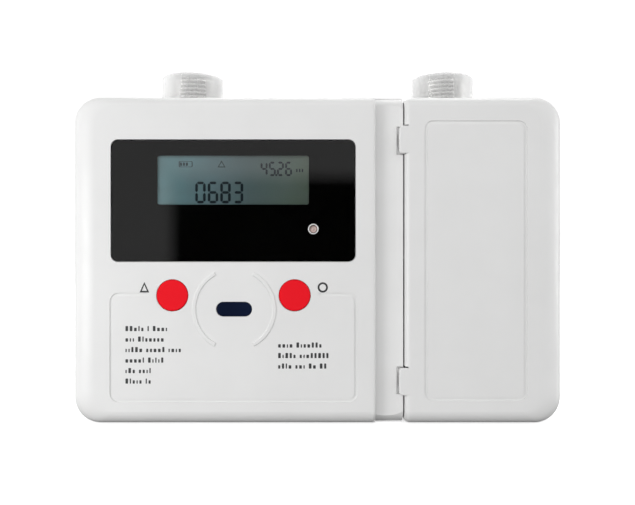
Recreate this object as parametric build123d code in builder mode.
"""Household ultrasonic gas meter with a hinged battery door, in millimetres.

The meter hangs from two vertical connections 130 mm apart. A gas-tight housing at the back holds the
valve and the measuring tube, a sealing plate closes it, and a front cover holds the electronics.
The origin is the middle of the base: X to the right, Y to the back, Z up.
"""

import os

from build123d import *

# ---------------------------------------------------------------- driving dimensions
HALF_WIDTH = 113.0
HEIGHT = 151.0
CORNER_RADIUS = 12.0
RIB_FRONT = -44.0  # the probe ribs are the foremost surface
FACE = -43.5  # front face of cover and door
SPLIT = -20.0  # parting line between front cover and rear housing
BACK = 44.0
REAR_EDGE_RADIUS = 7.0

SIDE_ROUNDING = 11.0  # how far the front rounding reaches in from each side
TOP_ROUNDING = 5.0
BOTTOM_ROUNDING = 6.5
ROUNDING_DEPTH = 8.0

COVER_WALL = 2.5
COVER_RIGHT = 26.6  # right edge of the raised cover
CHANNEL_RIGHT = 39.4
CHANNEL_FLOOR = -39.3  # deepest line of the hollow channel
CHANNEL_DEEPEST_X = 31.5
CHANNEL_HOLLOW_RADIUS = 28.9
CHANNEL_END_RADIUS = 8.0  # rounding where the channel runs over the top and the bottom
CHANNEL_BACK = -35.5
DOOR_LEFT = 40.0
DOOR_EDGE_ROUNDING = 2.5
DOOR_EDGE_DEPTH = 6.2  # depth of the door's left edge behind its face
DOOR_WALL = 2.2
BAY_CLEARANCE = 1.0
BAY_WALL = 2.0
BAY_RIM = -34.5
BAY_FLOOR_FRONT = -22.0

HINGE_X = 39.0
HINGE_Y = -41.3
PIN_RADIUS = 0.6
PIN_CLEARANCE = 0.06
KNUCKLE_RADIUS = 1.7
EAR_RADIUS = 1.1
EAR_LENGTH = 2.6
EAR_ROOT_Y = -33.0
POCKET_RADIUS = 3.0  # room in the channel for a hinge tab to swing in
TAB_LEFT = 37.3
TAB_RIGHT = 46.0
TAB_THICKNESS = 0.8
TAB_NOTCH = 0.5
TAB_SPANS = ((13.8, 26.4), (124.1, 136.9))  # lowest and highest Z of each hinge tab

NOZZLE_SPACING = 130.0
NOZZLE_X = NOZZLE_SPACING / 2
THREAD_RADIUS = 15.0  # M30 x 2
THREAD_PITCH = 2.0
THREAD_DEPTH = 1.0
NOZZLE_BORE = 11.5
NOZZLE_TOP = 167.0
CAP_TOP = 169.2
CAP_BOTTOM = 154.6
CAP_RADIUS = 15.9
CAP_INNER_RADIUS = 15.3
CAP_BEAD_RADIUS = 16.2
CAP_BEAD_HEIGHT = 1.2
CAP_END_WALL = 1.1
SHORT_RIB = (158.6, 167.0)
LONG_RIB = (155.0, 167.5)
CAP_RIBS = ((0, SHORT_RIB), (130, LONG_RIB), (158, LONG_RIB))  # angle round the cap, height span

WINDOW_CENTRE = (-38.4, 102.6)
WINDOW_SIZE = (111.2, 55.4)
WINDOW_CORNER = 3.2
WINDOW_THICKNESS = 1.4
DISPLAY_CENTRE = (-38.55, 112.1)
DISPLAY_SIZE = (69.3, 22.4)
LED_CENTRE = (-1.9, 89.7)
LED_RADIUS = 1.85
LED_FRONT = -43.3
LED_COLLAR_RADIUS = 2.4
LED_COLLAR_BACK = -40.6

BUTTON_Z = 59.5
BUTTON_X = {"button_a": -66.1, "button_b": -10.4}
BUTTON_RADIUS = 7.1
BUTTON_HOLE_RADIUS = 7.35
BUTTON_FLANGE_RADIUS = 8.6
BUTTON_BACK = -40.8
BUTTON_FLANGE_BACK = -39.6
POST_RADIUS = 2.5
PROBE_CENTRE = (-38.0, 53.2)
PROBE_RIB_INNER = 17.4
PROBE_RIB_OUTER = 19.2
PROBE_RIB_HALF_ANGLE = 62.0
PROBE_RING_RADIUS = 16.0  # steel ring behind the arcs, which holds the reading head's magnet
PROBE_RING_INNER = 11.0
PROBE_RING_BACK = -39.5
IR_SIZE = (16.3, 6.6)
IR_BACK = -41.0
IR_FLANGE = 1.4
IR_FLANGE_BACK = -40.2

GROOVE_WIDTH = 1.5
GROOVE_DEPTH = 0.45
DATA_BORDER = (-93.9, 17.5, 11.5, 59.9)  # left, right, low, high
DATA_BORDER_GAP = (-77.0, 0.7)
DOOR_BORDER = (49.5, 94.8, 12.2, 138.3)

HOUSING_RIM = 2.5  # wall outside the sealing plate's seat
HOUSING_WALL = 5.5
GASKET_FRONT = -17.0
LEDGE = -15.5
CASE_SCREW_X = 101.0
CASE_SCREW_Z = (12.0, 139.0)
CASE_SCREW_RADIUS = 1.9
CASE_SCREW_HEAD_RADIUS = 3.6
CASE_SCREWS = [(x, z) for x in (-CASE_SCREW_X, CASE_SCREW_X) for z in CASE_SCREW_Z]
COLUMN_RADIUS = 8.0
PLATE_SCREW_RADIUS = 1.65
PLATE_SCREW_HEAD_RADIUS = 3.3
PLATE_SCREWS = ((-52, 9), (0, 9), (52, 9), (0, 142), (-104, 75), (104, 75))
FEEDTHROUGH = (-20.0, 78.0)
PRESSURE_PORT = (30.0, 100.0)
TEMPERATURE_PORT = (-80.0, 60.0)

BOARD_FRONT = -28.0
BOARD_THICKNESS = 1.6
BOARD = (-94.0, 20.0, 8.0, 142.0)
BOARD_SCREW_RADIUS = 1.25
BOARD_POSTS = ((-88, 14), (14, 14), (-88, 136), (14, 136))
CHIPS = ((-60, 30, 12, 12), (-20, 30, 9, 9), (-60, 75, 14, 10), (-75, 110, 8, 6), (0, 120, 10, 10))
CONNECTORS = ((6, 40), (6, 60), (6, 80))
CAPACITOR_PLACE = (-10, 30)
BUZZER_PLACE = (-80, 30)
GLASS = (75.0, 29.0)  # the display's own glass
GLASS_FRONT = -40.6
GLASS_BACK = -38.0
POST_END = -33.0  # rear end of the button posts

RADIO_CENTRE = (74.0, 108.0)
RADIO_SIZE = (58.0, 46.0)
CELL_RADIUS = 7.1
CELL_LENGTH = 50.0
CELL_X = (48.8, 63.8, 78.8, 93.8)
CELL_Y = -30.4
CELL_LOW = 22.0

SHANK_RADIUS = 13.0
SHANK_LOW = 134.0
COLLAR_RADIUS = 17.0
COLLAR_LOW = 152.0
THREAD_LOW = 154.0
NUT_HIGH = HEIGHT - HOUSING_WALL - 2.0
NUT_HEIGHT = 4.5

SOCKET_FLOOR = 133.2  # where the connections' lower ends seal in the valve and the duct
SOCKET_TOP = 138.2
SEAT_Z = 125.0
DISC_Z = 108.0
DISC_THICKNESS = 2.4
VALVE_FLOOR = 98.0
VALVE_RADIUS = 15.0
VALVE_BORE_RADIUS = 12.4
SEAT_RADIUS = 8.5
DISC_RADIUS = 11.6
DISC_SEAL_RADIUS = 10.8
DISC_HUB_RADIUS = 4.0
SCREW_RADIUS = 2.0
MOTOR_RADIUS = 9.0
MOTOR_FLANGE_RADIUS = 11.5
TUBE_Z = 38.0
TUBE_SIDE = 24.0
TUBE_BORE = 18.0
TUBE_X = (-62.0, 50.0)
TRANSDUCERS = ((-34.0, 40.0), (22.0, -40.0))  # X at the tube's axis and tilt from vertical
TRANSDUCER_RADIUS = 7.0
TRANSDUCER_FLANGE_RADIUS = 8.6
TRANSDUCER_BOSS_RADIUS = 9.0
STRAIGHTENER_SIDE = 17.8
DUCT_BORE = 10.5
DUCT_RADIUS = 13.0


def front_plane(y):
    """A sketch plane facing the front at depth y, where the sketch's x and y are X and Z."""
    return Plane(origin=(0, y, 0), x_dir=(1, 0, 0), z_dir=(0, -1, 0))


def level_plane(z):
    """A horizontal sketch plane at height z."""
    return Plane.XY.offset(z)


def save(part, label):
    """Name the finished piece and write it to its own file."""
    part.label = label
    export_step(part, f"parts/{label}.step")


def case_block(inset, front, side, top, bottom):
    """The case's rounded front block from the parting line to the front face, inset all round."""
    steps = 5
    with BuildPart() as block:
        for i in range(steps + 1):
            share = i / steps
            bend = 1 - (1 - share) ** 2
            shrink = (1 - share) ** 2
            y = front + ROUNDING_DEPTH * share ** 1.6
            left = HALF_WIDTH - inset - side * shrink
            high = HEIGHT - inset - top * shrink
            low = inset + bottom * shrink
            corner = CORNER_RADIUS - inset - 3.0 * (1 - bend)
            with BuildSketch(front_plane(y)):
                with Locations((0, (low + high) / 2)):
                    RectangleRounded(2 * left, high - low, corner)
        loft()
        with BuildSketch(front_plane(front + ROUNDING_DEPTH)):
            with Locations((0, HEIGHT / 2)):
                RectangleRounded(2 * (HALF_WIDTH - inset), HEIGHT - 2 * inset, CORNER_RADIUS - inset)
        extrude(amount=front + ROUNDING_DEPTH - SPLIT)
    return block.part


def box_part(x0, x1, y0, y1, z0, z1):
    """A plain block between two corners."""
    with BuildPart() as block:
        with Locations(((x0 + x1) / 2, (y0 + y1) / 2, (z0 + z1) / 2)):
            Box(x1 - x0, y1 - y0, z1 - z0)
    return block.part


def border_loop(left, right, low, high, corner, width, depth):
    """A closed rounded line sunk into the front face."""
    with BuildPart() as line:
        with BuildSketch(front_plane(FACE + depth)):
            with Locations(((left + right) / 2, (low + high) / 2)):
                RectangleRounded(right - left + width, high - low + width, corner + width / 2)
                RectangleRounded(
                    right - left - width, high - low - width, corner - width / 2, mode=Mode.SUBTRACT
                )
        extrude(amount=depth + 1)
    return line.part


outer_case = case_block(0, FACE, SIDE_ROUNDING, TOP_ROUNDING, BOTTOM_ROUNDING)
cover_hollow = case_block(
    COVER_WALL, FACE + COVER_WALL, SIDE_ROUNDING - 1.5, TOP_ROUNDING - 0.8, BOTTOM_ROUNDING - 1
)
door_hollow = case_block(
    DOOR_WALL, FACE + DOOR_WALL, SIDE_ROUNDING - 1.3, TOP_ROUNDING - 0.8, BOTTOM_ROUNDING - 1
)

os.makedirs("parts", exist_ok=True)

# ---------------------------------------------------------------- rear housing
with BuildPart() as rear_housing:
    with BuildSketch(front_plane(BACK)):
        with Locations((0, HEIGHT / 2)):
            RectangleRounded(2 * HALF_WIDTH, HEIGHT, CORNER_RADIUS)
    extrude(amount=BACK - SPLIT - 0.5)
    fillet(rear_housing.faces().sort_by(Axis.Y)[-1].edges(), REAR_EDGE_RADIUS)
    # shadow gap that marks the parting line
    with BuildSketch(front_plane(SPLIT + 0.5)):
        with Locations((0, HEIGHT / 2)):
            RectangleRounded(2 * HALF_WIDTH - 1.6, HEIGHT - 1.6, CORNER_RADIUS - 0.8)
    extrude(amount=0.5)
    # seat of the sealing plate
    with BuildSketch(front_plane(LEDGE)):
        with Locations((0, HEIGHT / 2)):
            RectangleRounded(
                2 * (HALF_WIDTH - HOUSING_RIM), HEIGHT - 2 * HOUSING_RIM, CORNER_RADIUS - HOUSING_RIM
            )
    extrude(amount=LEDGE - SPLIT + 1, mode=Mode.SUBTRACT)
    # gas chamber, which leaves screw columns in the corners and screw bosses along the walls
    with BuildSketch(front_plane(BACK - 3.5)):
        with Locations((0, HEIGHT / 2)):
            RectangleRounded(
                2 * (HALF_WIDTH - HOUSING_WALL), HEIGHT - 2 * HOUSING_WALL, CORNER_RADIUS - HOUSING_WALL
            )
        with Locations(*CASE_SCREWS):
            Circle(COLUMN_RADIUS, mode=Mode.SUBTRACT)
        with Locations(*PLATE_SCREWS):
            Circle(5.0, mode=Mode.SUBTRACT)
    extrude(amount=BACK - 3.5 - LEDGE, mode=Mode.SUBTRACT)
    # case screws come from the back through counterbored columns
    with BuildSketch(front_plane(BACK + 1)):
        with Locations(*CASE_SCREWS):
            Circle(2.2)
    extrude(amount=BACK - SPLIT + 2, mode=Mode.SUBTRACT)
    with BuildSketch(front_plane(BACK + 1)):
        with Locations(*CASE_SCREWS):
            Circle(4.5)
    extrude(amount=BACK + 1 + 8, mode=Mode.SUBTRACT)
    # threaded holes for the plate screws
    with BuildSketch(front_plane(-5.0)):
        with Locations(*PLATE_SCREWS):
            Circle(1.7)
    extrude(amount=12, mode=Mode.SUBTRACT)
    # flat bosses and holes for the two connections
    with BuildSketch(level_plane(HEIGHT - HOUSING_WALL - 2)):
        with Locations((-NOZZLE_X, 0), (NOZZLE_X, 0)):
            Circle(20)
        with Locations((0, -25)):
            Rectangle(200, 19.9, mode=Mode.SUBTRACT)
    extrude(amount=3)
    with BuildSketch(level_plane(HEIGHT - HOUSING_WALL - 3)):
        with Locations((-NOZZLE_X, 0), (NOZZLE_X, 0)):
            Circle(13.2)
    extrude(amount=HOUSING_WALL + 4, mode=Mode.SUBTRACT)
    # saddle that carries the measuring tube
    with BuildSketch(front_plane(BACK - 3)):
        with Locations((-30, TUBE_Z - 15.5), (30, TUBE_Z - 15.5)):
            Rectangle(6, 6)
    extrude(amount=BACK - 3 + 12)
save(rear_housing.part, "rear_housing")

# ---------------------------------------------------------------- sealing between gas and electronics
with BuildPart() as housing_gasket:
    with BuildSketch(front_plane(LEDGE)):
        with Locations((0, HEIGHT / 2)):
            RectangleRounded(
                2 * (HALF_WIDTH - HOUSING_RIM - 0.3), HEIGHT - 2 * HOUSING_RIM - 0.6, CORNER_RADIUS - 2.8
            )
            RectangleRounded(
                2 * (HALF_WIDTH - HOUSING_WALL), HEIGHT - 2 * HOUSING_WALL, CORNER_RADIUS - HOUSING_WALL,
                mode=Mode.SUBTRACT,
            )
        with Locations(*CASE_SCREWS):
            Circle(COLUMN_RADIUS - 0.5)
        with Locations(*PLATE_SCREWS):
            Circle(4.8)
        with Locations(*CASE_SCREWS):
            Circle(2.4, mode=Mode.SUBTRACT)
        with Locations(*PLATE_SCREWS):
            Circle(2.2, mode=Mode.SUBTRACT)
    extrude(amount=LEDGE - GASKET_FRONT)
save(housing_gasket.part, "housing_gasket")

with BuildPart() as sealing_plate:
    with BuildSketch(front_plane(GASKET_FRONT)):
        with Locations((0, HEIGHT / 2)):
            RectangleRounded(
                2 * (HALF_WIDTH - HOUSING_RIM - 0.3), HEIGHT - 2 * HOUSING_RIM - 0.6, CORNER_RADIUS - 2.8
            )
        with Locations(*CASE_SCREWS):
            Circle(2.4, mode=Mode.SUBTRACT)
        with Locations(*PLATE_SCREWS):
            Circle(2.2, mode=Mode.SUBTRACT)
        with Locations(FEEDTHROUGH):
            Circle(7.0, mode=Mode.SUBTRACT)
        with Locations(PRESSURE_PORT):
            Circle(4.0, mode=Mode.SUBTRACT)
        with Locations(TEMPERATURE_PORT):
            Circle(2.5, mode=Mode.SUBTRACT)
    extrude(amount=2.8)
    # the plate screws' heads sink into the plate
    with BuildSketch(front_plane(GASKET_FRONT - 1.4)):
        with Locations(*PLATE_SCREWS):
            Circle(3.6)
    extrude(amount=2, mode=Mode.SUBTRACT)
save(sealing_plate.part, "sealing_plate")

with BuildPart() as plate_screws:
    with BuildSketch(front_plane(-6.0)):
        with Locations(*PLATE_SCREWS):
            Circle(PLATE_SCREW_RADIUS)
    extrude(amount=12.4)
    with BuildSketch(front_plane(GASKET_FRONT - 1.4)):
        with Locations(*PLATE_SCREWS):
            Circle(PLATE_SCREW_HEAD_RADIUS)
            RegularPolygon(1.0, 6, mode=Mode.SUBTRACT)
    extrude(amount=1.3)
save(plate_screws.part, "plate_screws")

with BuildPart() as feedthrough:
    with BuildSketch(front_plane(-11.0)):
        with Locations(FEEDTHROUGH):
            Circle(6.8)
    extrude(amount=11.0)
    with BuildSketch(front_plane(-14.9)):
        with Locations(FEEDTHROUGH):
            Circle(9.0)
    extrude(amount=2.0)
    with BuildSketch(front_plane(-7.0)):
        with Locations(FEEDTHROUGH):
            with GridLocations(3.0, 3.0, 3, 2):
                Circle(0.45)
    extrude(amount=18.5)
save(feedthrough.part, "feedthrough")

with BuildPart() as pressure_sensor:
    with BuildSketch(front_plane(-10.0)):
        with Locations(PRESSURE_PORT):
            Circle(3.9)
            Circle(1.0, mode=Mode.SUBTRACT)
    extrude(amount=10.0)
    with BuildSketch(front_plane(-16.9)):
        with Locations(PRESSURE_PORT):
            RegularPolygon(6.0, 6)
            Circle(3.9, mode=Mode.SUBTRACT)
    extrude(amount=-3.0)
save(pressure_sensor.part, "pressure_sensor")

with BuildPart() as temperature_probe:
    with BuildSketch(front_plane(14.0)):
        with Locations(TEMPERATURE_PORT):
            Circle(2.4)
    extrude(amount=34.5)
    fillet(temperature_probe.faces().sort_by(Axis.Y)[-1].edges(), 1.5)
    with BuildSketch(front_plane(-16.9)):
        with Locations(TEMPERATURE_PORT):
            RegularPolygon(5.0, 6)
    extrude(amount=-3.0)
save(temperature_probe.part, "temperature_probe")

# ---------------------------------------------------------------- front cover
inside_bay_x = HALF_WIDTH - DOOR_WALL - BAY_CLEARANCE
inside_bay_z = DOOR_WALL + BAY_CLEARANCE

with BuildPart() as bay_block:
    with BuildSketch(front_plane(SPLIT)):
        with Locations((0, HEIGHT / 2)):
            RectangleRounded(2 * inside_bay_x, HEIGHT - 2 * inside_bay_z, CORNER_RADIUS - inside_bay_z)
    extrude(amount=SPLIT - BAY_RIM)
with BuildPart() as bay_hollow:
    with BuildSketch(front_plane(BAY_FLOOR_FRONT)):
        with Locations((0, HEIGHT / 2)):
            RectangleRounded(
                2 * (inside_bay_x - BAY_WALL),
                HEIGHT - 2 * (inside_bay_z + BAY_WALL),
                CORNER_RADIUS - inside_bay_z - BAY_WALL,
            )
    extrude(amount=BAY_FLOOR_FRONT - BAY_RIM + 5)
right_of_wall = box_part(CHANNEL_RIGHT - BAY_WALL, 200, -60, 0, -20, 200)
right_of_channel = box_part(CHANNEL_RIGHT, 200, -60, 0, -20, 200)
bay_body = bay_block.part & right_of_wall
bay_room = bay_hollow.part & right_of_channel
left_of_seam = box_part(-200, CHANNEL_RIGHT, -60, 0, -20, 200)
left_of_wall = box_part(-200, CHANNEL_RIGHT - BAY_WALL, -60, 0, -20, 200)
channel_skin = box_part(COVER_RIGHT - 2.0, CHANNEL_RIGHT, -60, CHANNEL_BACK, -20, 200)
channel_room = box_part(COVER_RIGHT, CHANNEL_RIGHT + 5, -60, CHANNEL_BACK, -20, 200)
with BuildPart() as channel_hollow:
    with BuildSketch(level_plane(-10)):
        with Locations((CHANNEL_DEEPEST_X, CHANNEL_FLOOR - CHANNEL_HOLLOW_RADIUS)):
            Circle(CHANNEL_HOLLOW_RADIUS)
    extrude(amount=HEIGHT + 20)
with BuildPart() as channel_ends:
    with BuildSketch(Plane(origin=(COVER_RIGHT, 0, 0), x_dir=(0, 1, 0), z_dir=(1, 0, 0))):
        with Locations((CHANNEL_FLOOR - 1.2 + 50, HEIGHT / 2)):
            RectangleRounded(100, HEIGHT, CHANNEL_END_RADIUS)
    extrude(amount=CHANNEL_RIGHT + 5 - COVER_RIGHT)
channel_cut = channel_room & channel_hollow.part
channel_end_cut = channel_room - channel_ends.part
with BuildPart() as front_cover:
    add(outer_case)
    add(left_of_seam, mode=Mode.INTERSECT)
    add(channel_cut, mode=Mode.SUBTRACT)
    cover_side = front_cover.faces().filter_by(Axis.X).sort_by(Axis.X)
    step_faces = [f for f in cover_side if abs(f.center().X - COVER_RIGHT) < 0.1]
    step_edges = step_faces[0].edges().filter_by(Axis.Z)
    fillet(step_edges.sort_by(Axis.Y)[0], 1.5)
    add(channel_end_cut, mode=Mode.SUBTRACT)
    # hollow for the electronics
    add((cover_hollow & left_of_wall) - channel_skin, mode=Mode.SUBTRACT)
    # battery bay behind the door
    add(bay_body)
    add(bay_room, mode=Mode.SUBTRACT)
    # recess and opening of the display window
    with BuildSketch(front_plane(FACE + WINDOW_THICKNESS + 0.1)):
        with Locations(WINDOW_CENTRE):
            RectangleRounded(WINDOW_SIZE[0] + 0.5, WINDOW_SIZE[1] + 0.5, WINDOW_CORNER + 0.25)
    extrude(amount=5, mode=Mode.SUBTRACT)
    with BuildSketch(front_plane(FACE + 4)):
        with Locations(WINDOW_CENTRE):
            RectangleRounded(WINDOW_SIZE[0] - 6, WINDOW_SIZE[1] - 6, 1.5)
    extrude(amount=8, mode=Mode.SUBTRACT)
    # button holes and the infrared window's hole
    with BuildSketch(front_plane(FACE + 6)):
        for x in BUTTON_X.values():
            with Locations((x, BUTTON_Z)):
                Circle(BUTTON_HOLE_RADIUS)
        with Locations(PROBE_CENTRE):
            SlotOverall(IR_SIZE[0] + 0.2, IR_SIZE[1] + 0.2)
    extrude(amount=10, mode=Mode.SUBTRACT)
    # raised arcs that centre the optical reading head
    with BuildSketch(front_plane(FACE + 0.5)):
        with Locations(PROBE_CENTRE):
            Circle(PROBE_RIB_OUTER)
            Circle(PROBE_RIB_INNER, mode=Mode.SUBTRACT)
        with BuildLine(mode=Mode.PRIVATE) as wedge_line:
            px, pz = PROBE_CENTRE
            reach = 60.0
            up = Vector(reach, 0).rotate(Axis.Z, PROBE_RIB_HALF_ANGLE)
            Polyline((px, pz), (px + up.X, pz + up.Y), (px - up.X, pz + up.Y), close=True)
        wedge = make_face(wedge_line.edges(), mode=Mode.PRIVATE)
        add(wedge, mode=Mode.SUBTRACT)
        add(mirror(wedge, about=Plane((px, pz, 0), z_dir=(0, 1, 0)), mode=Mode.PRIVATE), mode=Mode.SUBTRACT)
    extrude(amount=0.5 + FACE - RIB_FRONT)
    rib_edges = front_cover.faces().sort_by(Axis.Y)[0:2].edges()
    fillet(rib_edges, 0.35)
    # board posts and screw bosses behind the face
    with BuildSketch(front_plane(BOARD_FRONT)):
        with Locations(*BOARD_POSTS):
            Circle(4)
    extrude(amount=BOARD_FRONT - FACE - 2)
    with BuildSketch(front_plane(BOARD_FRONT)):
        with Locations(*BOARD_POSTS):
            Circle(1.3)
    extrude(amount=9, mode=Mode.SUBTRACT)
    with BuildSketch(front_plane(SPLIT)):
        with Locations(*[(-CASE_SCREW_X, z) for z in CASE_SCREW_Z]):
            Circle(5)
    extrude(amount=20)
    with BuildSketch(front_plane(SPLIT)):
        with Locations(*[(CASE_SCREW_X, z) for z in CASE_SCREW_Z]):
            Circle(5)
    extrude(amount=12)
    with BuildSketch(front_plane(SPLIT)):
        with Locations(*CASE_SCREWS):
            Circle(1.95)
    extrude(amount=10, mode=Mode.SUBTRACT)
    # posts under the radio board
    with BuildSketch(front_plane(BAY_FLOOR_FRONT)):
        with Locations((RADIO_CENTRE[0], RADIO_CENTRE[1])):
            with GridLocations(RADIO_SIZE[0] - 8, RADIO_SIZE[1] - 8, 2, 2):
                Circle(2.5)
    extrude(amount=2.0)
    # hinge ears stand in pockets at the seam, two beside each knuckle
    for low, high in TAB_SPANS:
        with BuildSketch(level_plane(low - 0.1)):
            with Locations((HINGE_X, HINGE_Y)):
                Circle(POCKET_RADIUS)
        extrude(amount=high - low + 0.2, mode=Mode.SUBTRACT)
        for start in (low + 0.5, high - 0.5 - EAR_LENGTH):
            with BuildSketch(level_plane(start)):
                with Locations((HINGE_X, HINGE_Y)):
                    Circle(EAR_RADIUS)
                with Locations((HINGE_X, (HINGE_Y + EAR_ROOT_Y) / 2)):
                    Rectangle(1.6, EAR_ROOT_Y - HINGE_Y)
                with Locations((HINGE_X - 0.4, EAR_ROOT_Y - 2.1)):
                    Rectangle(2.4, 4.2)
            extrude(amount=EAR_LENGTH)
    for low, high in TAB_SPANS:
        with BuildSketch(level_plane(low)):
            with Locations((HINGE_X, HINGE_Y)):
                Circle(PIN_RADIUS)
        extrude(amount=high - low, mode=Mode.SUBTRACT)
    # data border: one groove with a gap at its top
    border = border_loop(*DATA_BORDER, 3.6, GROOVE_WIDTH, GROOVE_DEPTH)
    gap = box_part(*DATA_BORDER_GAP, -60, 0, 50, 70)
    add(border - gap, mode=Mode.SUBTRACT)
save(front_cover.part, "front_cover")

# ---------------------------------------------------------------- case screws and tamper plugs
with BuildPart() as case_screws:
    with BuildSketch(front_plane(-8.0)):
        with Locations(*CASE_SCREWS):
            Circle(CASE_SCREW_RADIUS)
    extrude(amount=20.5)
    with BuildSketch(front_plane(-5.0)):
        with Locations(*CASE_SCREWS):
            Circle(CASE_SCREW_HEAD_RADIUS)
            RegularPolygon(1.6, 6, mode=Mode.SUBTRACT)
    extrude(amount=3.0)
save(case_screws.part, "case_screws")

with BuildPart() as seal_plugs:
    with BuildSketch(front_plane(BACK - 0.5)):
        with Locations(*CASE_SCREWS):
            Circle(4.4)
    extrude(amount=5.0)
    chamfer(seal_plugs.faces().sort_by(Axis.Y)[-4:].edges(), 0.5)
save(seal_plugs.part, "seal_plugs")

# ---------------------------------------------------------------- battery door
right_of_seam = box_part(DOOR_LEFT, 200, -60, SPLIT - 0.9, -20, 200)
door_room = box_part(DOOR_LEFT + DOOR_WALL, 200, -60, 0, -20, 200)
door_edge_cut = box_part(
    DOOR_LEFT - 1, DOOR_LEFT + 5, FACE + DOOR_EDGE_DEPTH, 0, DOOR_WALL, HEIGHT - DOOR_WALL
)
hinge_tabs = []
for low, high in TAB_SPANS:
    with BuildPart() as hinge_tab:
        with BuildSketch(front_plane(FACE + TAB_THICKNESS)):
            with Locations(((TAB_LEFT + TAB_RIGHT) / 2, (low + high) / 2)):
                RectangleRounded(TAB_RIGHT - TAB_LEFT, high - low, 1.6)
        extrude(amount=TAB_THICKNESS)
        fillet(hinge_tab.faces().sort_by(Axis.Y)[0].edges(), 0.6)
    hinge_tabs.append(hinge_tab.part)
with BuildPart() as battery_door:
    add(outer_case)
    add(right_of_seam, mode=Mode.INTERSECT)
    left_faces = [f for f in battery_door.faces().filter_by(Axis.X) if abs(f.center().X - DOOR_LEFT) < 0.1]
    fillet(left_faces[0].edges().filter_by(Axis.Z).sort_by(Axis.Y)[0], DOOR_EDGE_ROUNDING)
    add(door_hollow & door_room, mode=Mode.SUBTRACT)
    add(door_edge_cut, mode=Mode.SUBTRACT)
    for (low, high), tab in zip(TAB_SPANS, hinge_tabs):
        # the edge is open behind each tab, and a small notch shows above it
        add(box_part(DOOR_LEFT - 1, DOOR_LEFT + 2.4, FACE + TAB_THICKNESS, 0, low + 0.1, high - 0.1),
            mode=Mode.SUBTRACT)
        add(box_part(DOOR_LEFT - 1, DOOR_LEFT + 1.6, FACE - 1, 0, high - 0.2, high + TAB_NOTCH),
            mode=Mode.SUBTRACT)
        add(tab)
        knuckle_low = low + 0.5 + EAR_LENGTH + 0.2
        knuckle_high = high - 0.5 - EAR_LENGTH - 0.2
        with BuildSketch(level_plane(knuckle_low)):
            with Locations((HINGE_X, HINGE_Y)):
                Circle(KNUCKLE_RADIUS)
            with Locations((HINGE_X + 0.9, HINGE_Y - 0.9)):
                Rectangle(2 * KNUCKLE_RADIUS + 1.8, KNUCKLE_RADIUS)
            with Locations((HINGE_X, HINGE_Y)):
                Circle(PIN_RADIUS + PIN_CLEARANCE, mode=Mode.SUBTRACT)
        extrude(amount=knuckle_high - knuckle_low)
    add(border_loop(*DOOR_BORDER, 3.2, GROOVE_WIDTH, GROOVE_DEPTH), mode=Mode.SUBTRACT)
save(battery_door.part, "battery_door")

with BuildPart() as hinge_pins:
    for low, high in TAB_SPANS:
        with BuildSketch(level_plane(low + 0.3)):
            with Locations((HINGE_X, HINGE_Y)):
                Circle(PIN_RADIUS)
        extrude(amount=high - low - 0.6)
save(hinge_pins.part, "hinge_pins")

with BuildPart() as door_gasket:
    with BuildSketch(front_plane(SPLIT)):
        with Locations((0, HEIGHT / 2)):
            RectangleRounded(2 * (HALF_WIDTH - 1.0), HEIGHT - 2.0, CORNER_RADIUS - 1.0)
            RectangleRounded(2 * (HALF_WIDTH - 2.9), HEIGHT - 5.8, CORNER_RADIUS - 2.9, mode=Mode.SUBTRACT)
        with Locations((DOOR_LEFT + 1 - 100, HEIGHT / 2)):
            Rectangle(200, 200, mode=Mode.SUBTRACT)
    extrude(amount=0.6)
save(door_gasket.part, "door_gasket")

with BuildPart() as door_catch:
    add(box_part(inside_bay_x, inside_bay_x + 0.5, BAY_RIM - 0.5, -26.0, 68.0, 82.0))
    add(box_part(inside_bay_x - BAY_WALL - 0.5, inside_bay_x + 0.5, BAY_RIM - 0.5, BAY_RIM, 68.0, 82.0))
    add(box_part(inside_bay_x - BAY_WALL - 0.5, inside_bay_x - BAY_WALL, BAY_RIM - 0.5, -26.0, 68.0, 82.0))
    with BuildSketch(level_plane(72.0)):
        with Locations((inside_bay_x + 0.1, -29.5)):
            Circle(0.6)
    extrude(amount=6.0)
    add(box_part(inside_bay_x - BAY_WALL, inside_bay_x, BAY_RIM, -25.0, 60.0, 90.0), mode=Mode.SUBTRACT)
save(door_catch.part, "door_catch")

# ---------------------------------------------------------------- display
window_front = FACE + 0.1
mask_front = window_front + WINDOW_THICKNESS - 0.2
with BuildPart() as display_window:
    with BuildSketch(front_plane(mask_front)):
        with Locations(WINDOW_CENTRE):
            RectangleRounded(*WINDOW_SIZE, WINDOW_CORNER)
        with Locations(LED_CENTRE):
            Circle(LED_COLLAR_RADIUS + 0.05, mode=Mode.SUBTRACT)
    extrude(amount=mask_front - window_front)
    window_face_edges = display_window.faces().sort_by(Axis.Y)[0].outer_wire().edges()
    chamfer(window_face_edges, 0.25)
save(display_window.part, "display_window")

with BuildPart() as window_mask:
    with BuildSketch(front_plane(mask_front + 0.2)):
        with Locations(WINDOW_CENTRE):
            RectangleRounded(*WINDOW_SIZE, WINDOW_CORNER)
        with Locations(DISPLAY_CENTRE):
            RectangleRounded(*DISPLAY_SIZE, 1.0, mode=Mode.SUBTRACT)
        with Locations(LED_CENTRE):
            Circle(LED_COLLAR_RADIUS + 0.05, mode=Mode.SUBTRACT)
    extrude(amount=0.2)
save(window_mask.part, "window_mask")

with BuildPart() as led_collar:
    with BuildSketch(front_plane(LED_COLLAR_BACK)):
        with Locations(LED_CENTRE):
            Circle(LED_COLLAR_RADIUS)
            Circle(LED_RADIUS + 0.05, mode=Mode.SUBTRACT)
    extrude(amount=3.1)
    fillet(led_collar.faces().sort_by(Axis.Y)[0].edges(), 0.2)
save(led_collar.part, "led_collar")

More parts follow.
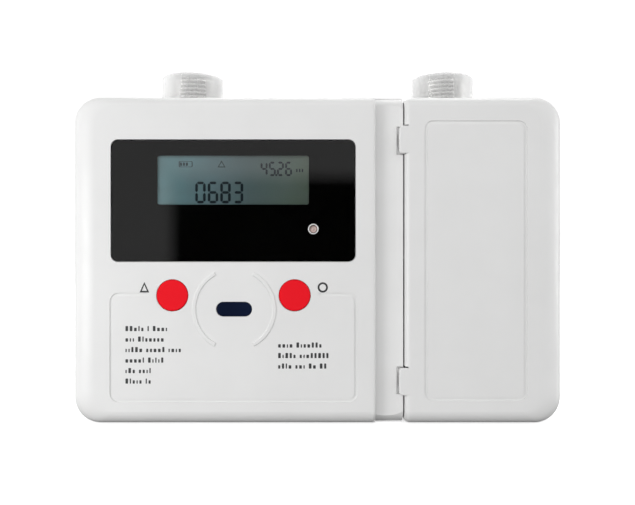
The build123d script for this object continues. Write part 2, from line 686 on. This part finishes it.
with BuildPart() as status_led:
    with BuildSketch(front_plane(BOARD_FRONT)):
        with Locations(LED_CENTRE):
            Circle(LED_RADIUS)
    extrude(amount=BOARD_FRONT - LED_FRONT)
    fillet(status_led.faces().sort_by(Axis.Y)[0].edges(), 0.6)
    with BuildSketch(front_plane(BOARD_FRONT)):
        with Locations(LED_CENTRE):
            Circle(2.2)
    extrude(amount=2.0)
save(status_led.part, "status_led")

with BuildPart() as lcd_panel:
    with BuildSketch(front_plane(GLASS_BACK)):
        with Locations(DISPLAY_CENTRE):
            Rectangle(*GLASS)
    extrude(amount=GLASS_BACK - GLASS_FRONT)
save(lcd_panel.part, "lcd_panel")

pin_z = DISPLAY_CENTRE[1] - GLASS[1] / 2 - 0.6
with BuildPart() as lcd_holder:
    with BuildSketch(front_plane(BOARD_FRONT)):
        with Locations((DISPLAY_CENTRE[0], DISPLAY_CENTRE[1] - 0.8)):
            Rectangle(GLASS[0] + 4.4, GLASS[1] + 6.0)
            Rectangle(GLASS[0] + 0.4, GLASS[1] + 2.4, mode=Mode.SUBTRACT)
    extrude(amount=BOARD_FRONT - GLASS_FRONT)
    with BuildSketch(front_plane(GLASS_BACK + 1.6)):
        with Locations((DISPLAY_CENTRE[0], DISPLAY_CENTRE[1] - 0.8)):
            Rectangle(GLASS[0] + 4.4, GLASS[1] + 6.0)
            Rectangle(GLASS[0] - 5.0, GLASS[1] - 4.0, mode=Mode.SUBTRACT)
        with Locations((DISPLAY_CENTRE[0], pin_z)):
            Rectangle(62.0, 1.4, mode=Mode.SUBTRACT)
    extrude(amount=1.6)
save(lcd_holder.part, "lcd_holder")

with BuildPart() as lcd_pins:
    with BuildSketch(front_plane(BOARD_FRONT)):
        with Locations((DISPLAY_CENTRE[0], pin_z)):
            with GridLocations(3.6, 1, 16, 1):
                Rectangle(0.6, 0.5)
    extrude(amount=11.0)
save(lcd_pins.part, "lcd_pins")

# ---------------------------------------------------------------- buttons and optical port
for button_name, button_x in BUTTON_X.items():
    with BuildPart() as button:
        with BuildSketch(front_plane(BUTTON_BACK)):
            with Locations((button_x, BUTTON_Z)):
                Circle(BUTTON_RADIUS)
        extrude(amount=3.0)
        fillet(button.faces().sort_by(Axis.Y)[0].edges(), 0.45)
        with BuildSketch(front_plane(BUTTON_FLANGE_BACK)):
            with Locations((button_x, BUTTON_Z)):
                Circle(BUTTON_FLANGE_RADIUS)
        extrude(amount=1.2)
        with BuildSketch(front_plane(POST_END)):
            with Locations((button_x, BUTTON_Z)):
                Circle(POST_RADIUS)
        extrude(amount=POST_END + 40.0)
    save(button.part, button_name)

button_places = [(x, BUTTON_Z) for x in BUTTON_X.values()]
with BuildPart() as key_switches:
    with BuildSketch(front_plane(BOARD_FRONT)):
        with Locations(*button_places):
            Rectangle(6.0, 6.0)
    extrude(amount=3.5)
    with BuildSketch(front_plane(BOARD_FRONT - 3.5)):
        with Locations(*button_places):
            Circle(1.75)
    extrude(amount=0.6)
save(key_switches.part, "key_switches")

with BuildPart() as ir_window:
    with BuildSketch(front_plane(IR_BACK)):
        with Locations(PROBE_CENTRE):
            SlotOverall(*IR_SIZE)
    extrude(amount=2.35)
    fillet(ir_window.faces().sort_by(Axis.Y)[0].edges(), 0.3)
    with BuildSketch(front_plane(IR_FLANGE_BACK)):
        with Locations(PROBE_CENTRE):
            SlotOverall(IR_SIZE[0] + 2 * IR_FLANGE, IR_SIZE[1] + 2 * IR_FLANGE)
    extrude(amount=0.8)
save(ir_window.part, "ir_window")

for emitter_name, emitter_x in (("ir_emitter", PROBE_CENTRE[0] - 4), ("ir_receiver", PROBE_CENTRE[0] + 4)):
    with BuildPart() as emitter:
        with BuildSketch(front_plane(BOARD_FRONT)):
            with Locations((emitter_x, PROBE_CENTRE[1])):
                Circle(1.5)
        extrude(amount=11.5)
        fillet(emitter.faces().sort_by(Axis.Y)[0].edges(), 1.3)
        with BuildSketch(front_plane(BOARD_FRONT)):
            with Locations((emitter_x, PROBE_CENTRE[1])):
                Circle(1.9)
        extrude(amount=6.5)
    save(emitter.part, emitter_name)

with BuildPart() as probe_ring:
    with BuildSketch(front_plane(PROBE_RING_BACK)):
        with Locations(PROBE_CENTRE):
            Circle(PROBE_RING_RADIUS)
            Circle(PROBE_RING_INNER, mode=Mode.SUBTRACT)
    extrude(amount=1.5)
save(probe_ring.part, "probe_ring")

# ---------------------------------------------------------------- main board
board_back = BOARD_FRONT + BOARD_THICKNESS
board_left, board_right, board_low, board_high = BOARD
with BuildPart() as main_board:
    with BuildSketch(front_plane(board_back)):
        with Locations(((board_left + board_right) / 2, (board_low + board_high) / 2)):
            Rectangle(board_right - board_left, board_high - board_low)
        with Locations(*BOARD_POSTS):
            Circle(1.6, mode=Mode.SUBTRACT)
    extrude(amount=BOARD_THICKNESS)
save(main_board.part, "main_board")

with BuildPart() as board_screws:
    with BuildSketch(front_plane(board_back)):
        with Locations(*BOARD_POSTS):
            Circle(BOARD_SCREW_RADIUS)
    extrude(amount=8.5)
    with BuildSketch(front_plane(board_back + 1.8)):
        with Locations(*BOARD_POSTS):
            Circle(2.7)
            RegularPolygon(0.9, 4, mode=Mode.SUBTRACT)
    extrude(amount=1.8)
save(board_screws.part, "board_screws")

with BuildPart() as board_chips:
    with BuildSketch(front_plane(board_back + 1.4)):
        for x, z, width, height in CHIPS:
            with Locations((x, z)):
                Rectangle(width, height)
    extrude(amount=1.4)
save(board_chips.part, "board_chips")

with BuildPart() as board_connectors:
    with BuildSketch(front_plane(BOARD_FRONT)):
        with Locations(*CONNECTORS):
            Rectangle(6, 14)
            Rectangle(3.6, 11.6, mode=Mode.SUBTRACT)
    extrude(amount=6.5)
    with BuildSketch(front_plane(BOARD_FRONT)):
        with Locations(*CONNECTORS):
            Rectangle(6, 14)
    extrude(amount=1.5)
save(board_connectors.part, "board_connectors")

with BuildPart() as supercapacitor:
    with BuildSketch(front_plane(BOARD_FRONT)):
        with Locations(CAPACITOR_PLACE):
            Circle(5)
    extrude(amount=10.5)
    fillet(supercapacitor.faces().sort_by(Axis.Y)[0].edges(), 0.8)
save(supercapacitor.part, "supercapacitor")

with BuildPart() as buzzer:
    with BuildSketch(front_plane(BOARD_FRONT)):
        with Locations(BUZZER_PLACE):
            Circle(6)
    extrude(amount=8)
    with BuildSketch(front_plane(BOARD_FRONT - 6.5)):
        with Locations(BUZZER_PLACE):
            Circle(1.0)
    extrude(amount=4, mode=Mode.SUBTRACT)
save(buzzer.part, "buzzer")

# ---------------------------------------------------------------- battery and radio bay
tray_left = CELL_X[0] - CELL_RADIUS - 0.8
tray_right = CELL_X[-1] + CELL_RADIUS + 0.8
tray_low = CELL_LOW - 4.0
tray_high = CELL_LOW + CELL_LENGTH + 4.0
with BuildPart() as battery_tray:
    add(box_part(tray_left, tray_right, CELL_Y, BAY_FLOOR_FRONT, tray_low, tray_high))
    add(box_part(tray_left, tray_right, CELL_Y - 4.5, BAY_FLOOR_FRONT, tray_low, tray_low + 1.5))
    add(box_part(tray_left, tray_right, CELL_Y - 4.5, BAY_FLOOR_FRONT, tray_high - 1.5, tray_high))
    with BuildSketch(level_plane(tray_low + 1.5)):
        with Locations(*[(x, CELL_Y) for x in CELL_X]):
            Circle(CELL_RADIUS + 0.2)
    extrude(amount=tray_high - tray_low - 3.0, mode=Mode.SUBTRACT)
save(battery_tray.part, "battery_tray")

for i, cell_x in enumerate(CELL_X):
    upright = i % 2 == 0
    body_low = CELL_LOW if upright else CELL_LOW + 1.4
    nub_low = CELL_LOW + CELL_LENGTH - 1.4 if upright else CELL_LOW
    with BuildPart() as cell:
        with BuildSketch(level_plane(body_low)):
            with Locations((cell_x, CELL_Y)):
                Circle(CELL_RADIUS)
        extrude(amount=CELL_LENGTH - 1.4)
        fillet(cell.edges().filter_by(GeomType.CIRCLE), 0.6)
        with BuildSketch(level_plane(nub_low)):
            with Locations((cell_x, CELL_Y)):
                Circle(2.75)
        extrude(amount=1.4)
    save(cell.part, f"battery_cell_{i + 1}")

spring_gap = CELL_LOW - tray_low - 1.9
contact_springs = []
for i, cell_x in enumerate(CELL_X):
    upright = i % 2 == 0
    spring_low = tray_low + 1.9 if upright else CELL_LOW + CELL_LENGTH
    lower_radius, upper_radius = (4.0, 2.2) if upright else (2.2, 4.0)
    with BuildPart() as contact_spring:
        with Locations((cell_x, CELL_Y, spring_low + spring_gap / 2)):
            Cone(lower_radius, upper_radius, spring_gap)
    contact_springs.append(contact_spring.part)
with BuildPart() as battery_contacts:
    for z in (tray_low + 1.5, tray_high - 1.9):
        with BuildSketch(level_plane(z)):
            with Locations(*[(x, CELL_Y - 0.6) for x in CELL_X]):
                Rectangle(9.0, 9.0)
        extrude(amount=0.4)
    for spring in contact_springs:
        add(spring)
save(battery_contacts.part, "battery_contacts")

radio_back = BAY_FLOOR_FRONT - 2.0
radio_front = radio_back - 1.6
with BuildPart() as radio_board:
    with BuildSketch(front_plane(radio_back)):
        with Locations(RADIO_CENTRE):
            Rectangle(*RADIO_SIZE)
    extrude(amount=1.6)
save(radio_board.part, "radio_board")

with BuildPart() as radio_module:
    with BuildSketch(front_plane(radio_front)):
        with Locations((RADIO_CENTRE[0] - 14, RADIO_CENTRE[1] + 4)):
            RectangleRounded(20, 17, 0.8)
    extrude(amount=2.6)
save(radio_module.part, "radio_module")

with BuildPart() as sim_card:
    with BuildSketch(front_plane(radio_front)):
        with Locations((RADIO_CENTRE[0] + 14, RADIO_CENTRE[1] - 6)):
            RectangleRounded(15, 12, 1.0)
    extrude(amount=0.9)
save(sim_card.part, "sim_card")

with BuildPart() as aerial:
    with BuildSketch(front_plane(radio_front)):
        with Locations((RADIO_CENTRE[0] + 6, RADIO_CENTRE[1] + 18.5)):
            Rectangle(42, 5)
    extrude(amount=1.2)
    with BuildSketch(front_plane(radio_front - 1.2)):
        with Locations((RADIO_CENTRE[0] + 6, RADIO_CENTRE[1] + 18.5)):
            with GridLocations(4.0, 1, 10, 1):
                Rectangle(2.0, 4.0)
    extrude(amount=0.3)
save(aerial.part, "aerial")

# ---------------------------------------------------------------- connections and their caps
for nozzle_name, nozzle_x in (("inlet_nozzle", -NOZZLE_X), ("outlet_nozzle", NOZZLE_X)):
    with BuildPart() as nozzle:
        with BuildSketch(level_plane(SHANK_LOW)):
            with Locations((nozzle_x, 0)):
                Circle(SHANK_RADIUS)
        extrude(amount=NOZZLE_TOP - SHANK_LOW)
        with BuildSketch(level_plane(COLLAR_LOW)):
            with Locations((nozzle_x, 0)):
                Circle(COLLAR_RADIUS)
        extrude(amount=THREAD_LOW - COLLAR_LOW)
        turns = int((NOZZLE_TOP - THREAD_LOW) / THREAD_PITCH)
        for turn in range(turns):
            ridge_z = THREAD_LOW + 0.6 + turn * THREAD_PITCH
            core = THREAD_RADIUS - THREAD_DEPTH - 0.2
            with BuildSketch(Plane(origin=(nozzle_x, 0, 0), x_dir=(1, 0, 0), z_dir=(0, -1, 0))):
                with BuildLine():
                    Polyline(
                        (SHANK_RADIUS - 0.5, ridge_z - 0.6),
                        (core, ridge_z - 0.6),
                        (THREAD_RADIUS - 0.1, ridge_z + 0.3),
                        (THREAD_RADIUS - 0.1, ridge_z + 0.7),
                        (core, ridge_z + 1.6),
                        (SHANK_RADIUS - 0.5, ridge_z + 1.6),
                        close=True,
                    )
                make_face()
            revolve(axis=Axis((nozzle_x, 0, 0), (0, 0, 1)))
        with BuildSketch(level_plane(SHANK_LOW)):
            with Locations((nozzle_x, 0)):
                Circle(NOZZLE_BORE)
        extrude(amount=NOZZLE_TOP - SHANK_LOW, mode=Mode.SUBTRACT)
    save(nozzle.part, nozzle_name)

nozzle_places = [(-NOZZLE_X, 0), (NOZZLE_X, 0)]
with BuildPart() as nozzle_seals:
    with BuildSketch(level_plane(HEIGHT)):
        with Locations(*nozzle_places):
            Circle(16.6)
            Circle(SHANK_RADIUS + 0.1, mode=Mode.SUBTRACT)
    extrude(amount=COLLAR_LOW - HEIGHT)
save(nozzle_seals.part, "nozzle_seals")

with BuildPart() as nozzle_locknuts:
    with BuildSketch(level_plane(NUT_HIGH - NUT_HEIGHT)):
        with Locations(*nozzle_places):
            RegularPolygon(16.8, 6, rotation=0)
            Circle(SHANK_RADIUS + 0.02, mode=Mode.SUBTRACT)
    extrude(amount=NUT_HEIGHT)
save(nozzle_locknuts.part, "nozzle_locknuts")

for cap_name, cap_x, cap_turn in (("inlet_cap", -NOZZLE_X, -70), ("outlet_cap", NOZZLE_X, -235)):
    with BuildPart() as cap:
        with BuildSketch(level_plane(CAP_BOTTOM)):
            with Locations((cap_x, 0)):
                Circle(CAP_RADIUS)
        extrude(amount=CAP_TOP - CAP_BOTTOM)
        fillet(cap.faces().sort_by(Axis.Z)[-1].edges(), 1.0)
        with BuildSketch(level_plane(CAP_BOTTOM)):
            with Locations((cap_x, 0)):
                Circle(CAP_BEAD_RADIUS)
        extrude(amount=CAP_BEAD_HEIGHT)
        for angle, (rib_low, rib_high) in CAP_RIBS:
            with BuildSketch(level_plane(rib_low)):
                with Locations((cap_x, 0)):
                    with PolarLocations(CAP_RADIUS - 0.15, 1, angle + cap_turn):
                        Rectangle(1.2, 1.2)
            extrude(amount=rib_high - rib_low)
        with BuildSketch(level_plane(CAP_BOTTOM - 1)):
            with Locations((cap_x, 0)):
                Circle(CAP_INNER_RADIUS)
        extrude(amount=CAP_TOP - CAP_END_WALL - CAP_BOTTOM + 1, mode=Mode.SUBTRACT)
    save(cap.part, cap_name)

# ---------------------------------------------------------------- shut-off valve under the inlet
with BuildPart() as valve_body:
    with BuildSketch(level_plane(VALVE_FLOOR)):
        with Locations((-NOZZLE_X, 0)):
            Circle(VALVE_RADIUS)
    extrude(amount=SOCKET_TOP - VALVE_FLOOR)
    with BuildSketch(level_plane(SOCKET_FLOOR)):
        with Locations((-NOZZLE_X, 0)):
            Circle(SHANK_RADIUS + 0.02)
    extrude(amount=6, mode=Mode.SUBTRACT)
    with BuildSketch(level_plane(VALVE_FLOOR + 3)):
        with Locations((-NOZZLE_X, 0)):
            Circle(VALVE_BORE_RADIUS)
    extrude(amount=SEAT_Z - VALVE_FLOOR - 3, mode=Mode.SUBTRACT)
    with BuildSketch(level_plane(SEAT_Z - 1)):
        with Locations((-NOZZLE_X, 0)):
            Circle(SEAT_RADIUS)
    extrude(amount=10, mode=Mode.SUBTRACT)
    with BuildSketch(level_plane(VALVE_FLOOR - 1)):
        with Locations((-NOZZLE_X, 0)):
            Circle(2.5)
    extrude(amount=5, mode=Mode.SUBTRACT)
    add(box_part(-NOZZLE_X - 20, -NOZZLE_X + 20, -7, 7, VALVE_FLOOR + 4, SEAT_Z - 5), mode=Mode.SUBTRACT)
save(valve_body.part, "valve_body")

with BuildPart() as valve_disc:
    with BuildSketch(level_plane(DISC_Z)):
        with Locations((-NOZZLE_X, 0)):
            Circle(DISC_RADIUS)
    extrude(amount=DISC_THICKNESS)
    with BuildSketch(level_plane(DISC_Z - 3)):
        with Locations((-NOZZLE_X, 0)):
            Circle(DISC_HUB_RADIUS)
    extrude(amount=4)
    with BuildSketch(level_plane(DISC_Z - 4)):
        with Locations((-NOZZLE_X, 0)):
            Circle(SCREW_RADIUS + 0.05)
    extrude(amount=8, mode=Mode.SUBTRACT)
save(valve_disc.part, "valve_disc")

with BuildPart() as valve_disc_seal:
    with BuildSketch(level_plane(DISC_Z + DISC_THICKNESS)):
        with Locations((-NOZZLE_X, 0)):
            Circle(DISC_SEAL_RADIUS)
            Circle(DISC_HUB_RADIUS, mode=Mode.SUBTRACT)
    extrude(amount=2.0)
save(valve_disc_seal.part, "valve_disc_seal")

with BuildPart() as valve_screw:
    with BuildSketch(level_plane(VALVE_FLOOR - 3)):
        with Locations((-NOZZLE_X, 0)):
            Circle(SCREW_RADIUS)
    extrude(amount=SEAT_Z - VALVE_FLOOR + 2)
    with BuildSketch(level_plane(VALVE_FLOOR + 3.3)):
        with Locations((-NOZZLE_X, 0)):
            Circle(3.2)
    extrude(amount=1.0)
save(valve_screw.part, "valve_screw")

with BuildPart() as valve_motor:
    with BuildSketch(level_plane(VALVE_FLOOR - 26)):
        with Locations((-NOZZLE_X, 0)):
            Circle(MOTOR_RADIUS)
    extrude(amount=18)
    with BuildSketch(level_plane(VALVE_FLOOR - 8)):
        with Locations((-NOZZLE_X, 0)):
            Circle(MOTOR_FLANGE_RADIUS)
    extrude(amount=8)
    with BuildSketch(level_plane(VALVE_FLOOR - 3.2)):
        with Locations((-NOZZLE_X, 0)):
            Circle(SCREW_RADIUS + 0.1)
    extrude(amount=5, mode=Mode.SUBTRACT)
save(valve_motor.part, "valve_motor")

# ---------------------------------------------------------------- measuring tube and outlet duct
tube_start, tube_end = TUBE_X
tube_half = TUBE_SIDE / 2
bore_half = TUBE_BORE / 2
transducer_planes = [
    Plane(origin=(x, 0, TUBE_Z), z_dir=Vector(0, 0, 1).rotate(Axis.Y, -tilt)) for x, tilt in TRANSDUCERS
]
with BuildPart() as flow_tube:
    add(box_part(tube_start, tube_end, -tube_half, tube_half, TUBE_Z - tube_half, TUBE_Z + tube_half))
    for boss_plane in transducer_planes:
        with BuildSketch(boss_plane):
            Circle(TRANSDUCER_BOSS_RADIUS)
        extrude(amount=30)
    add(box_part(tube_start - 1, tube_end + 1, -bore_half, bore_half, TUBE_Z - bore_half, TUBE_Z + bore_half),
        mode=Mode.SUBTRACT)
    for boss_plane in transducer_planes:
        with BuildSketch(boss_plane):
            Circle(TRANSDUCER_RADIUS + 0.05)
        extrude(amount=31, mode=Mode.SUBTRACT)
save(flow_tube.part, "flow_tube")

with BuildPart() as ultrasonic_transducers:
    for boss_plane in transducer_planes:
        with BuildSketch(boss_plane.offset(17)):
            Circle(TRANSDUCER_RADIUS)
        extrude(amount=13)
        with BuildSketch(boss_plane.offset(30)):
            Circle(TRANSDUCER_FLANGE_RADIUS)
        extrude(amount=2)
        with BuildSketch(boss_plane.offset(32)):
            with GridLocations(5, 1, 2, 1):
                Circle(0.5)
        extrude(amount=4)
save(ultrasonic_transducers.part, "ultrasonic_transducers")

with BuildPart() as flow_straightener:
    with BuildSketch(Plane(origin=(tube_start + 1, 0, TUBE_Z), x_dir=(0, 1, 0), z_dir=(1, 0, 0))):
        Rectangle(STRAIGHTENER_SIDE, STRAIGHTENER_SIDE)
        with GridLocations(4.3, 4.3, 4, 4):
            Rectangle(3.7, 3.7, mode=Mode.SUBTRACT)
    extrude(amount=10)
save(flow_straightener.part, "flow_straightener")

with BuildPart() as outlet_duct:
    add(box_part(
        tube_end + 1, NOZZLE_X + 6, -tube_half, tube_half, TUBE_Z - tube_half, TUBE_Z + tube_half
    ))
    with BuildSketch(level_plane(TUBE_Z - tube_half)):
        with Locations((NOZZLE_X, 0)):
            Circle(DUCT_RADIUS)
    extrude(amount=SOCKET_TOP - TUBE_Z + tube_half)
    with BuildSketch(level_plane(SEAT_Z + 1)):
        with Locations((NOZZLE_X, 0)):
            Circle(VALVE_RADIUS)
    extrude(amount=SOCKET_TOP - SEAT_Z - 1)
    add(box_part(tube_end, NOZZLE_X, -bore_half, bore_half, TUBE_Z - bore_half, TUBE_Z + bore_half),
        mode=Mode.SUBTRACT)
    with BuildSketch(level_plane(TUBE_Z - bore_half)):
        with Locations((NOZZLE_X, 0)):
            Circle(DUCT_BORE)
    extrude(amount=SOCKET_FLOOR + bore_half - TUBE_Z, mode=Mode.SUBTRACT)
    with BuildSketch(level_plane(SOCKET_FLOOR)):
        with Locations((NOZZLE_X, 0)):
            Circle(SHANK_RADIUS + 0.02)
    extrude(amount=6, mode=Mode.SUBTRACT)
save(outlet_duct.part, "outlet_duct")

with BuildPart() as duct_seals:
    with BuildSketch(level_plane(SOCKET_FLOOR)):
        with Locations(*nozzle_places):
            Circle(SHANK_RADIUS - 0.05)
            Circle(NOZZLE_BORE, mode=Mode.SUBTRACT)
    extrude(amount=SHANK_LOW - SOCKET_FLOOR)
    with BuildSketch(Plane(origin=(tube_end, 0, TUBE_Z), x_dir=(0, 1, 0), z_dir=(1, 0, 0))):
        Rectangle(TUBE_SIDE, TUBE_SIDE)
        Rectangle(TUBE_BORE, TUBE_BORE, mode=Mode.SUBTRACT)
    extrude(amount=1)
save(duct_seals.part, "duct_seals")
